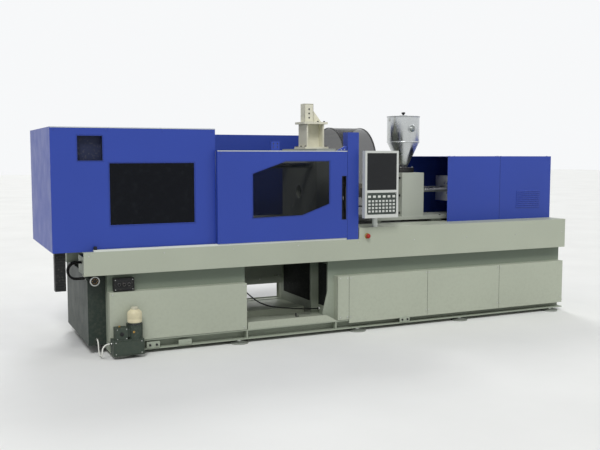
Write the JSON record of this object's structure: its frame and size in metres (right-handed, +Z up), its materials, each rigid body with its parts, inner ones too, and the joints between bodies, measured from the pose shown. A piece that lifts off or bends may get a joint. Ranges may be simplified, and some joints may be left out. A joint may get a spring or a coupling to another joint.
{
  "type": "injection moulding machine",
  "caption": "All-electric injection moulding machine with a double toggle clamp, sliding guards, an injection unit and an open base bay.",
  "frame": {"origin": "centre of the footprint's box at floor level, the two free cords left out", "axes": "+X from the clamp end to the injection end, -Y towards the operator, +Z up"},
  "size_m": [5, 1.4628, 2.05],
  "materials": {
    "base_paint": "satin",
    "cover_paint": "satin",
    "blue_paint": "semi-gloss",
    "cast_paint": "satin",
    "cream_paint": "satin",
    "black_paint": "satin",
    "pad_iron": "rough",
    "steel": "satin",
    "link_steel": "satin",
    "bar_chrome": "polished",
    "dark_steel": "satin",
    "motor_black": "satin",
    "tank_plastic": "matte",
    "pump_grey": "satin",
    "hose_white": "matte",
    "hose_black": "matte",
    "black_plastic": "matte",
    "window": "smoked",
    "screen": "gloss",
    "panel_paint": "satin",
    "button_red": "gloss",
    "band_steel": "satin",
    "hopper_steel": "satin"
  },
  "bodies": {
    "frame": {"base_frame": "base_paint", "levelling_pads": "pad_iron", "base_covers": "cover_paint", "base_fascias": "cover_paint", "drop_tray": "cover_paint", "base_end_panel": "black_paint", "lube_tank": "tank_plastic", "lube_pump": "pump_grey", "lube_hose": "hose_white", "bay_cable": "hose_black", "socket_boxes": "black_plastic", "cable_duct": "black_plastic", "hose_loops": "hose_black", "door_rails": "steel", "guide_rails": "steel", "fixed_platen": "cast_paint", "tie_bars": "bar_chrome", "tie_bar_nuts": "dark_steel", "clamp_cover_front": "blue_paint", "clamp_window": "window", "clamp_cover_top": "blue_paint", "clamp_cover_end": "blue_paint", "clamp_cover_rear": "blue_paint", "guard_posts": "blue_paint", "robot_riser": "cream_paint", "panel_arm": "steel", "injection_cover": "blue_paint"},
    "tailstock": {"tailstock": "cast_paint", "mould_height_drive": "dark_steel", "clamp_drive": "motor_black", "guide_rods": "bar_chrome", "anchor_pins": "dark_steel"},
    "crosshead": {"crosshead": "steel"},
    "upper_rear_link": {"upper_rear_link": "link_steel"},
    "lower_rear_link": {"lower_rear_link": "link_steel"},
    "upper_front_link": {"upper_front_link": "link_steel"},
    "lower_front_link": {"lower_front_link": "link_steel"},
    "upper_cross_link": {"upper_cross_link": "link_steel"},
    "lower_cross_link": {"lower_cross_link": "link_steel"},
    "moving_platen": {"moving_platen": "cast_paint", "ejector_motor": "motor_black"},
    "ejector_plate": {"ejector_plate": "steel"},
    "front_door": {"front_door": "blue_paint", "front_window": "window", "front_handle": "black_plastic"},
    "rear_door": {"rear_door": "blue_paint", "rear_window": "window"},
    "operating_panel": {"panel_housing": "panel_paint", "panel_screen": "screen"},
    "stop_button": {"stop_button": "button_red"},
    "purge_guard": {"purge_guard": "window"},
    "carriage": {"injection_carriage": "cast_paint", "barrel": "link_steel", "heater_bands": "band_steel", "injection_drive": "motor_black", "hopper": "hopper_steel"},
    "pusher_plate": {"pusher_plate": "steel"},
    "screw": {"screw": "bar_chrome"},
    "hopper_lid": {"hopper_lid": "hopper_steel"},
    "hopper_shutter": {"hopper_shutter": "steel"}
  },
  "joints": [
    {"name": "mould_height", "type": "slide", "parent": "frame", "child": "tailstock", "axis": [1, 0, 0], "range_m": [0, 0.28]},
    {"name": "clamp_stroke", "type": "slide", "parent": "tailstock", "child": "moving_platen", "axis": [1, 0, 0], "range_m": [0, 0.38818]},
    {"name": "crosshead_slide", "type": "slide", "parent": "tailstock", "child": "crosshead", "axis": [1, 0, 0], "range_m": [0, 0.32623]},
    {"name": "upper_rear_hinge", "type": "hinge", "parent": "tailstock", "child": "upper_rear_link", "pos_m": [-1.57, 0.0335, 1.56], "axis": [0, -1, 0], "range_deg": [0, 98]},
    {"name": "lower_rear_hinge", "type": "hinge", "parent": "tailstock", "child": "lower_rear_link", "pos_m": [-1.57, 0.0335, 0.9], "axis": [0, 1, 0], "range_deg": [0, 98]},
    {"name": "upper_knee", "type": "hinge", "parent": "upper_rear_link", "child": "upper_front_link", "pos_m": [-1.60271, 0.0335, 1.32729], "axis": [0, 1, 0], "range_deg": [0, 152.74]},
    {"name": "lower_knee", "type": "hinge", "parent": "lower_rear_link", "child": "lower_front_link", "pos_m": [-1.60271, 0.0335, 1.13271], "axis": [0, -1, 0], "range_deg": [0, 152.74]},
    {"name": "upper_cross_hinge", "type": "hinge", "parent": "crosshead", "child": "upper_cross_link", "pos_m": [-1.82122, 0.0335, 1.305], "axis": [0, -1, 0], "range_deg": [0, 30.55]},
    {"name": "lower_cross_hinge", "type": "hinge", "parent": "crosshead", "child": "lower_cross_link", "pos_m": [-1.82122, 0.0335, 1.155], "axis": [0, 1, 0], "range_deg": [0, 30.55]},
    {"name": "ejector_stroke", "type": "slide", "parent": "moving_platen", "child": "ejector_plate", "axis": [1, 0, 0], "range_m": [0, 0.08]},
    {"name": "front_door_slide", "type": "slide", "parent": "frame", "child": "front_door", "axis": [-1, 0, 0], "range_m": [0, 0.95]},
    {"name": "rear_door_slide", "type": "slide", "parent": "frame", "child": "rear_door", "axis": [-1, 0, 0], "range_m": [0, 0.95]},
    {"name": "panel_swivel", "type": "hinge", "parent": "frame", "child": "operating_panel", "pos_m": [0.295, -0.5865, 1.09], "axis": [0, 0, 1], "range_deg": [0, 70]},
    {"name": "stop_press", "type": "slide", "parent": "frame", "child": "stop_button", "axis": [0, 1, 0], "range_m": [0, 0.005], "stiffness_N_per_m": 600},
    {"name": "purge_guard_hinge", "type": "hinge", "parent": "frame", "child": "purge_guard", "pos_m": [0.31, 0.3715, 0.94], "axis": [-1, 0, 0], "range_deg": [0, 75]},
    {"name": "carriage_slide", "type": "slide", "parent": "frame", "child": "carriage", "axis": [-1, 0, 0], "range_m": [0, 0.3]},
    {"name": "injection_stroke", "type": "slide", "parent": "carriage", "child": "pusher_plate", "axis": [-1, 0, 0], "range_m": [0, 0.15]},
    {"name": "screw_turn", "type": "hinge", "parent": "pusher_plate", "child": "screw", "pos_m": [1.55, 0.0335, 1.23], "axis": [1, 0, 0], "continuous": true},
    {"name": "lid_hinge", "type": "hinge", "parent": "carriage", "child": "hopper_lid", "pos_m": [0.975, 0.2095, 1.952], "axis": [-1, 0, 0], "range_deg": [0, 95]},
    {"name": "shutter_slide", "type": "slide", "parent": "carriage", "child": "hopper_shutter", "axis": [-1, 0, 0], "range_m": [0, 0.07]}
  ],
  "couplings": [
    {"joint": "crosshead_slide", "follows": "clamp_stroke", "ratio": 0.8404},
    {"joint": "upper_rear_hinge", "follows": "clamp_stroke", "rad_per_m": 4.4063},
    {"joint": "lower_rear_hinge", "follows": "clamp_stroke", "rad_per_m": 4.4063},
    {"joint": "upper_knee", "follows": "clamp_stroke", "rad_per_m": 6.8675},
    {"joint": "lower_knee", "follows": "clamp_stroke", "rad_per_m": 6.8675},
    {"joint": "upper_cross_hinge", "follows": "clamp_stroke", "rad_per_m": 1.3735},
    {"joint": "lower_cross_hinge", "follows": "clamp_stroke", "rad_per_m": 1.3735}
  ]
}
